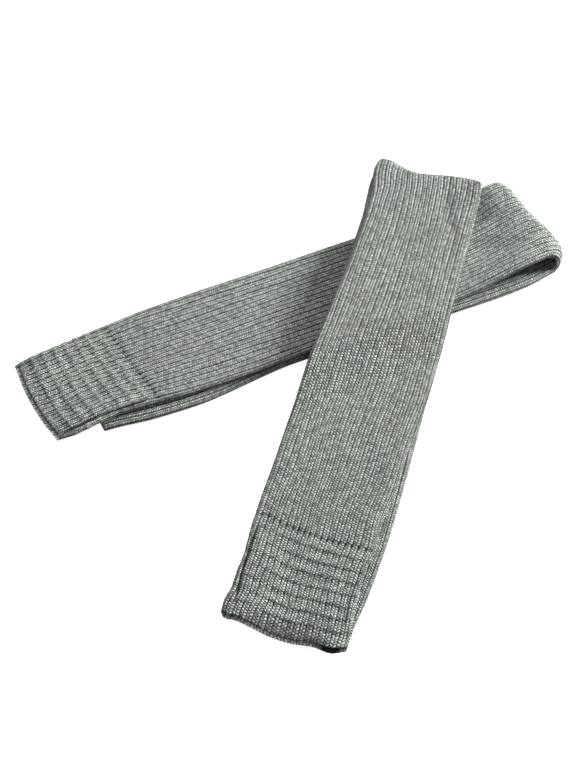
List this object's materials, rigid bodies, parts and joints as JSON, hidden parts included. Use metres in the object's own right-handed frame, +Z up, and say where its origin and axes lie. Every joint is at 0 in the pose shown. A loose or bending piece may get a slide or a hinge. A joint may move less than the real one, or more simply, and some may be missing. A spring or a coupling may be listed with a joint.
{
  "type": "pair of leg warmers",
  "caption": "Pair of long rib-knit leg warmers with banded ankle cuffs, pressed flat, folded once and laid crossed.",
  "frame": {"origin": "on the surface that the pair lies on, under the middle of its bounding box", "axes": "+Z up out of the surface, +Y away from a person who looks at the over leg warmer's cuff, +X to the right"},
  "size_m": [0.4488, 0.5024, 0.0322],
  "materials": {
    "rib_knit": "matte grey-green single-rib knit",
    "cuff_knit": "matte grey-green rib knit with cross bands"
  },
  "bodies": {
    "root": {"over_leg_tube": "rib_knit", "over_ankle_cuff": "cuff_knit", "under_leg_tube": "rib_knit", "under_ankle_cuff": "cuff_knit"}
  },
  "joints": []
}
